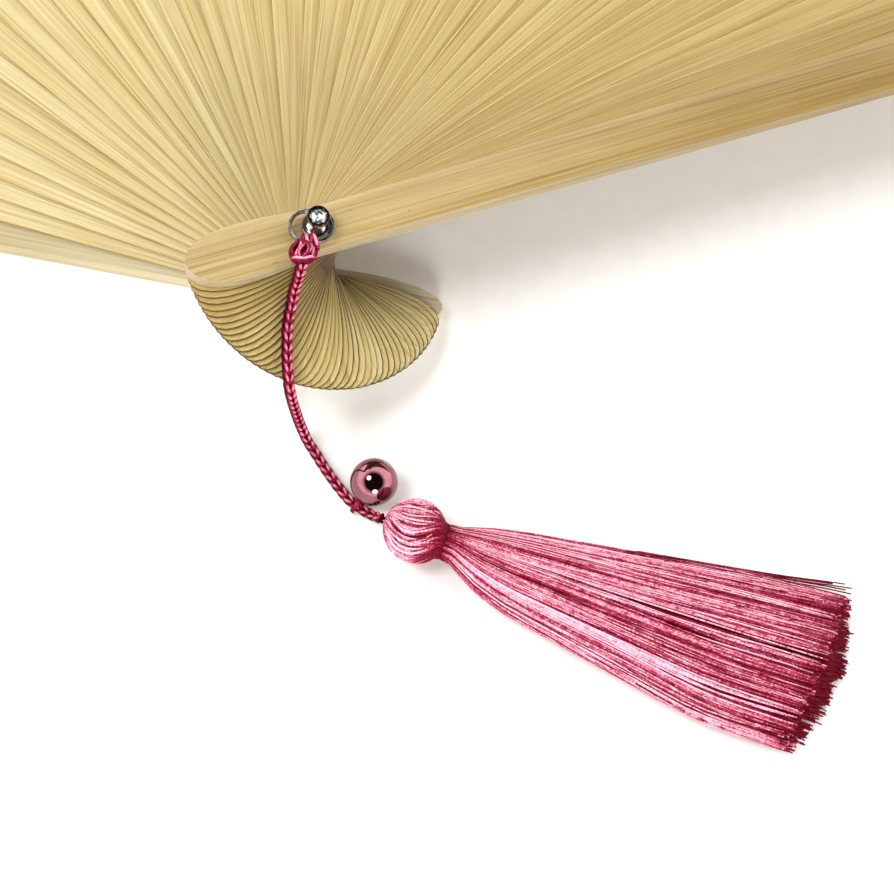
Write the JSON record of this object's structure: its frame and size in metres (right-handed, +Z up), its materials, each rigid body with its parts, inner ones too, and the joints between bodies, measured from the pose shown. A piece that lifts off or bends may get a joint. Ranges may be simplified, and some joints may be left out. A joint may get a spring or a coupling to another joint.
{
  "type": "folding hand fan",
  "caption": "Bamboo folding hand fan with overlapping slats between two guards on a crystal rivet, with a split ring, braided cord, bead and silk tassel.",
  "frame": {"origin": "on the pivot's axis, at the underside of the rivet's foot, which is level with the table", "axes": "+Z up along the pivot, +Y towards the middle of the open fan, +X towards the front guard's side, which is the longest extent"},
  "size_m": [0.3665, 0.2688, 0.0328],
  "materials": {
    "guard_bamboo": "planed bamboo, satin, with long grain streaks",
    "slat_bamboo": "pale split bamboo, satin",
    "rivet_metal": "bright nickel plate",
    "ring_metal": "dark nickel plate",
    "crystal_glass": "faceted clear crystal",
    "silk_cord": "braided rose silk",
    "binding_silk": "wound dark rose silk",
    "tassel_silk": "glossy rose silk threads",
    "bead_metal": "mirror rose metal"
  },
  "bodies": {
    "front_guard": {"front_guard": "guard_bamboo", "pivot_pin": "rivet_metal", "rivet_foot": "rivet_metal", "front_washer": "rivet_metal", "crystal_setting": "rivet_metal", "crystal": "crystal_glass"},
    "rear_guard": {"rear_guard": "guard_bamboo"},
    "slat_01": {"slat_01": "slat_bamboo"},
    "slat_02": {"slat_02": "slat_bamboo"},
    "slat_03": {"slat_03": "slat_bamboo"},
    "slat_04": {"slat_04": "slat_bamboo"},
    "slat_05": {"slat_05": "slat_bamboo"},
    "slat_06": {"slat_06": "slat_bamboo"},
    "slat_07": {"slat_07": "slat_bamboo"},
    "slat_08": {"slat_08": "slat_bamboo"},
    "slat_09": {"slat_09": "slat_bamboo"},
    "slat_10": {"slat_10": "slat_bamboo"},
    "slat_11": {"slat_11": "slat_bamboo"},
    "slat_12": {"slat_12": "slat_bamboo"},
    "slat_13": {"slat_13": "slat_bamboo"},
    "slat_14": {"slat_14": "slat_bamboo"},
    "slat_15": {"slat_15": "slat_bamboo"},
    "slat_16": {"slat_16": "slat_bamboo"},
    "slat_17": {"slat_17": "slat_bamboo"},
    "slat_18": {"slat_18": "slat_bamboo"},
    "slat_19": {"slat_19": "slat_bamboo"},
    "slat_20": {"slat_20": "slat_bamboo"},
    "slat_21": {"slat_21": "slat_bamboo"},
    "slat_22": {"slat_22": "slat_bamboo"},
    "slat_23": {"slat_23": "slat_bamboo"},
    "slat_24": {"slat_24": "slat_bamboo"},
    "slat_25": {"slat_25": "slat_bamboo"},
    "slat_26": {"slat_26": "slat_bamboo"},
    "slat_27": {"slat_27": "slat_bamboo"},
    "slat_28": {"slat_28": "slat_bamboo"},
    "slat_29": {"slat_29": "slat_bamboo"},
    "slat_30": {"slat_30": "slat_bamboo"},
    "slat_31": {"slat_31": "slat_bamboo"},
    "slat_32": {"slat_32": "slat_bamboo"},
    "slat_33": {"slat_33": "slat_bamboo"},
    "slat_34": {"slat_34": "slat_bamboo"},
    "slat_35": {"slat_35": "slat_bamboo"},
    "slat_36": {"slat_36": "slat_bamboo"},
    "slat_37": {"slat_37": "slat_bamboo"},
    "slat_38": {"slat_38": "slat_bamboo"},
    "slat_39": {"slat_39": "slat_bamboo"},
    "slat_40": {"slat_40": "slat_bamboo"},
    "slat_41": {"slat_41": "slat_bamboo"},
    "slat_42": {"slat_42": "slat_bamboo"},
    "slat_43": {"slat_43": "slat_bamboo"},
    "ring_and_cord": {"split_ring": "ring_metal", "cord_loop": "silk_cord", "cord_knot": "silk_cord", "cord": "silk_cord"},
    "bead": {"bead": "bead_metal", "bead_loop": "silk_cord"},
    "tassel": {"tassel_head": "tassel_silk", "tassel_binding": "binding_silk", "tassel_skirt": "tassel_silk"}
  },
  "joints": [
    {"name": "fan_fold", "type": "hinge", "parent": "front_guard", "child": "rear_guard", "pos_m": [0, 0, 0], "axis": [0, 0, -1], "range_deg": [0, 150.6]},
    {"name": "slat_01_turn", "type": "hinge", "parent": "front_guard", "child": "slat_01", "pos_m": [0, 0, 0], "axis": [0, 0, -1], "range_deg": [0, 4]},
    {"name": "slat_02_turn", "type": "hinge", "parent": "front_guard", "child": "slat_02", "pos_m": [0, 0, 0], "axis": [0, 0, -1], "range_deg": [0, 7.13]},
    {"name": "slat_03_turn", "type": "hinge", "parent": "front_guard", "child": "slat_03", "pos_m": [0, 0, 0], "axis": [0, 0, -1], "range_deg": [0, 10.27]},
    {"name": "slat_04_turn", "type": "hinge", "parent": "front_guard", "child": "slat_04", "pos_m": [0, 0, 0], "axis": [0, 0, -1], "range_deg": [0, 13.42]},
    {"name": "slat_05_turn", "type": "hinge", "parent": "front_guard", "child": "slat_05", "pos_m": [0, 0, 0], "axis": [0, 0, -1], "range_deg": [0, 16.58]},
    {"name": "slat_06_turn", "type": "hinge", "parent": "front_guard", "child": "slat_06", "pos_m": [0, 0, 0], "axis": [0, 0, -1], "range_deg": [0, 19.75]},
    {"name": "slat_07_turn", "type": "hinge", "parent": "front_guard", "child": "slat_07", "pos_m": [0, 0, 0], "axis": [0, 0, -1], "range_deg": [0, 22.93]},
    {"name": "slat_08_turn", "type": "hinge", "parent": "front_guard", "child": "slat_08", "pos_m": [0, 0, 0], "axis": [0, 0, -1], "range_deg": [0, 26.13]},
    {"name": "slat_09_turn", "type": "hinge", "parent": "front_guard", "child": "slat_09", "pos_m": [0, 0, 0], "axis": [0, 0, -1], "range_deg": [0, 29.34]},
    {"name": "slat_10_turn", "type": "hinge", "parent": "front_guard", "child": "slat_10", "pos_m": [0, 0, 0], "axis": [0, 0, -1], "range_deg": [0, 32.55]},
    {"name": "slat_11_turn", "type": "hinge", "parent": "front_guard", "child": "slat_11", "pos_m": [0, 0, 0], "axis": [0, 0, -1], "range_deg": [0, 35.78]},
    {"name": "slat_12_turn", "type": "hinge", "parent": "front_guard", "child": "slat_12", "pos_m": [0, 0, 0], "axis": [0, 0, -1], "range_deg": [0, 39.02]},
    {"name": "slat_13_turn", "type": "hinge", "parent": "front_guard", "child": "slat_13", "pos_m": [0, 0, 0], "axis": [0, 0, -1], "range_deg": [0, 42.27]},
    {"name": "slat_14_turn", "type": "hinge", "parent": "front_guard", "child": "slat_14", "pos_m": [0, 0, 0], "axis": [0, 0, -1], "range_deg": [0, 45.53]},
    {"name": "slat_15_turn", "type": "hinge", "parent": "front_guard", "child": "slat_15", "pos_m": [0, 0, 0], "axis": [0, 0, -1], "range_deg": [0, 48.81]},
    {"name": "slat_16_turn", "type": "hinge", "parent": "front_guard", "child": "slat_16", "pos_m": [0, 0, 0], "axis": [0, 0, -1], "range_deg": [0, 52.09]},
    {"name": "slat_17_turn", "type": "hinge", "parent": "front_guard", "child": "slat_17", "pos_m": [0, 0, 0], "axis": [0, 0, -1], "range_deg": [0, 55.39]},
    {"name": "slat_18_turn", "type": "hinge", "parent": "front_guard", "child": "slat_18", "pos_m": [0, 0, 0], "axis": [0, 0, -1], "range_deg": [0, 58.69]},
    {"name": "slat_19_turn", "type": "hinge", "parent": "front_guard", "child": "slat_19", "pos_m": [0, 0, 0], "axis": [0, 0, -1], "range_deg": [0, 62.01]},
    {"name": "slat_20_turn", "type": "hinge", "parent": "front_guard", "child": "slat_20", "pos_m": [0, 0, 0], "axis": [0, 0, -1], "range_deg": [0, 65.34]},
    {"name": "slat_21_turn", "type": "hinge", "parent": "front_guard", "child": "slat_21", "pos_m": [0, 0, 0], "axis": [0, 0, -1], "range_deg": [0, 68.68]},
    {"name": "slat_22_turn", "type": "hinge", "parent": "front_guard", "child": "slat_22", "pos_m": [0, 0, 0], "axis": [0, 0, -1], "range_deg": [0, 72.03]},
    {"name": "slat_23_turn", "type": "hinge", "parent": "front_guard", "child": "slat_23", "pos_m": [0, 0, 0], "axis": [0, 0, -1], "range_deg": [0, 75.39]},
    {"name": "slat_24_turn", "type": "hinge", "parent": "front_guard", "child": "slat_24", "pos_m": [0, 0, 0], "axis": [0, 0, -1], "range_deg": [0, 78.77]},
    {"name": "slat_25_turn", "type": "hinge", "parent": "front_guard", "child": "slat_25", "pos_m": [0, 0, 0], "axis": [0, 0, -1], "range_deg": [0, 82.15]},
    {"name": "slat_26_turn", "type": "hinge", "parent": "front_guard", "child": "slat_26", "pos_m": [0, 0, 0], "axis": [0, 0, -1], "range_deg": [0, 85.55]},
    {"name": "slat_27_turn", "type": "hinge", "parent": "front_guard", "child": "slat_27", "pos_m": [0, 0, 0], "axis": [0, 0, -1], "range_deg": [0, 88.96]},
    {"name": "slat_28_turn", "type": "hinge", "parent": "front_guard", "child": "slat_28", "pos_m": [0, 0, 0], "axis": [0, 0, -1], "range_deg": [0, 92.38]},
    {"name": "slat_29_turn", "type": "hinge", "parent": "front_guard", "child": "slat_29", "pos_m": [0, 0, 0], "axis": [0, 0, -1], "range_deg": [0, 95.81]},
    {"name": "slat_30_turn", "type": "hinge", "parent": "front_guard", "child": "slat_30", "pos_m": [0, 0, 0], "axis": [0, 0, -1], "range_deg": [0, 99.25]},
    {"name": "slat_31_turn", "type": "hinge", "parent": "front_guard", "child": "slat_31", "pos_m": [0, 0, 0], "axis": [0, 0, -1], "range_deg": [0, 102.7]},
    {"name": "slat_32_turn", "type": "hinge", "parent": "front_guard", "child": "slat_32", "pos_m": [0, 0, 0], "axis": [0, 0, -1], "range_deg": [0, 106.16]},
    {"name": "slat_33_turn", "type": "hinge", "parent": "front_guard", "child": "slat_33", "pos_m": [0, 0, 0], "axis": [0, 0, -1], "range_deg": [0, 109.64]},
    {"name": "slat_34_turn", "type": "hinge", "parent": "front_guard", "child": "slat_34", "pos_m": [0, 0, 0], "axis": [0, 0, -1], "range_deg": [0, 113.12]},
    {"name": "slat_35_turn", "type": "hinge", "parent": "front_guard", "child": "slat_35", "pos_m": [0, 0, 0], "axis": [0, 0, -1], "range_deg": [0, 116.62]},
    {"name": "slat_36_turn", "type": "hinge", "parent": "front_guard", "child": "slat_36", "pos_m": [0, 0, 0], "axis": [0, 0, -1], "range_deg": [0, 120.13]},
    {"name": "slat_37_turn", "type": "hinge", "parent": "front_guard", "child": "slat_37", "pos_m": [0, 0, 0], "axis": [0, 0, -1], "range_deg": [0, 123.65]},
    {"name": "slat_38_turn", "type": "hinge", "parent": "front_guard", "child": "slat_38", "pos_m": [0, 0, 0], "axis": [0, 0, -1], "range_deg": [0, 127.18]},
    {"name": "slat_39_turn", "type": "hinge", "parent": "front_guard", "child": "slat_39", "pos_m": [0, 0, 0], "axis": [0, 0, -1], "range_deg": [0, 130.72]},
    {"name": "slat_40_turn", "type": "hinge", "parent": "front_guard", "child": "slat_40", "pos_m": [0, 0, 0], "axis": [0, 0, -1], "range_deg": [0, 134.27]},
    {"name": "slat_41_turn", "type": "hinge", "parent": "front_guard", "child": "slat_41", "pos_m": [0, 0, 0], "axis": [0, 0, -1], "range_deg": [0, 137.84]},
    {"name": "slat_42_turn", "type": "hinge", "parent": "front_guard", "child": "slat_42", "pos_m": [0, 0, 0], "axis": [0, 0, -1], "range_deg": [0, 141.41]},
    {"name": "slat_43_turn", "type": "hinge", "parent": "front_guard", "child": "slat_43", "pos_m": [0, 0, 0], "axis": [0, 0, -1], "range_deg": [0, 145]},
    {"name": "ring_swivel", "type": "hinge", "parent": "front_guard", "child": "ring_and_cord", "pos_m": [0, 0, 0.0303], "axis": [0, 0, 1], "range_deg": [0, 25]},
    {"name": "bead_swing", "type": "hinge", "parent": "ring_and_cord", "child": "bead", "pos_m": [0.005, -0.03585, 0.00095], "axis": [0.7266, -0.6871, 0], "range_deg": [0, 45]},
    {"name": "tassel_swing", "type": "hinge", "parent": "ring_and_cord", "child": "tassel", "pos_m": [0.0088, -0.0395, 0.004], "axis": [0, 0, 1], "range_deg": [-30, 10]}
  ],
  "couplings": [
    {"joint": "slat_01_turn", "follows": "fan_fold", "ratio": 0.02656},
    {"joint": "slat_02_turn", "follows": "fan_fold", "ratio": 0.047329},
    {"joint": "slat_03_turn", "follows": "fan_fold", "ratio": 0.068172},
    {"joint": "slat_04_turn", "follows": "fan_fold", "ratio": 0.089089},
    {"joint": "slat_05_turn", "follows": "fan_fold", "ratio": 0.11008},
    {"joint": "slat_06_turn", "follows": "fan_fold", "ratio": 0.13115},
    {"joint": "slat_07_turn", "follows": "fan_fold", "ratio": 0.15229},
    {"joint": "slat_08_turn", "follows": "fan_fold", "ratio": 0.1735},
    {"joint": "slat_09_turn", "follows": "fan_fold", "ratio": 0.19479},
    {"joint": "slat_10_turn", "follows": "fan_fold", "ratio": 0.21615},
    {"joint": "slat_11_turn", "follows": "fan_fold", "ratio": 0.23759},
    {"joint": "slat_12_turn", "follows": "fan_fold", "ratio": 0.2591},
    {"joint": "slat_13_turn", "follows": "fan_fold", "ratio": 0.28069},
    {"joint": "slat_14_turn", "follows": "fan_fold", "ratio": 0.30235},
    {"joint": "slat_15_turn", "follows": "fan_fold", "ratio": 0.32408},
    {"joint": "slat_16_turn", "follows": "fan_fold", "ratio": 0.34589},
    {"joint": "slat_17_turn", "follows": "fan_fold", "ratio": 0.36777},
    {"joint": "slat_18_turn", "follows": "fan_fold", "ratio": 0.38973},
    {"joint": "slat_19_turn", "follows": "fan_fold", "ratio": 0.41176},
    {"joint": "slat_20_turn", "follows": "fan_fold", "ratio": 0.43387},
    {"joint": "slat_21_turn", "follows": "fan_fold", "ratio": 0.45605},
    {"joint": "slat_22_turn", "follows": "fan_fold", "ratio": 0.4783},
    {"joint": "slat_23_turn", "follows": "fan_fold", "ratio": 0.50063},
    {"joint": "slat_24_turn", "follows": "fan_fold", "ratio": 0.52304},
    {"joint": "slat_25_turn", "follows": "fan_fold", "ratio": 0.54551},
    {"joint": "slat_26_turn", "follows": "fan_fold", "ratio": 0.56806},
    {"joint": "slat_27_turn", "follows": "fan_fold", "ratio": 0.59069},
    {"joint": "slat_28_turn", "follows": "fan_fold", "ratio": 0.61339},
    {"joint": "slat_29_turn", "follows": "fan_fold", "ratio": 0.63617},
    {"joint": "slat_30_turn", "follows": "fan_fold", "ratio": 0.65902},
    {"joint": "slat_31_turn", "follows": "fan_fold", "ratio": 0.68194},
    {"joint": "slat_32_turn", "follows": "fan_fold", "ratio": 0.70494},
    {"joint": "slat_33_turn", "follows": "fan_fold", "ratio": 0.72801},
    {"joint": "slat_34_turn", "follows": "fan_fold", "ratio": 0.75115},
    {"joint": "slat_35_turn", "follows": "fan_fold", "ratio": 0.77438},
    {"joint": "slat_36_turn", "follows": "fan_fold", "ratio": 0.79767},
    {"joint": "slat_37_turn", "follows": "fan_fold", "ratio": 0.82104},
    {"joint": "slat_38_turn", "follows": "fan_fold", "ratio": 0.84448},
    {"joint": "slat_39_turn", "follows": "fan_fold", "ratio": 0.868},
    {"joint": "slat_40_turn", "follows": "fan_fold", "ratio": 0.89159},
    {"joint": "slat_41_turn", "follows": "fan_fold", "ratio": 0.91526},
    {"joint": "slat_42_turn", "follows": "fan_fold", "ratio": 0.939},
    {"joint": "slat_43_turn", "follows": "fan_fold", "ratio": 0.96281}
  ]
}
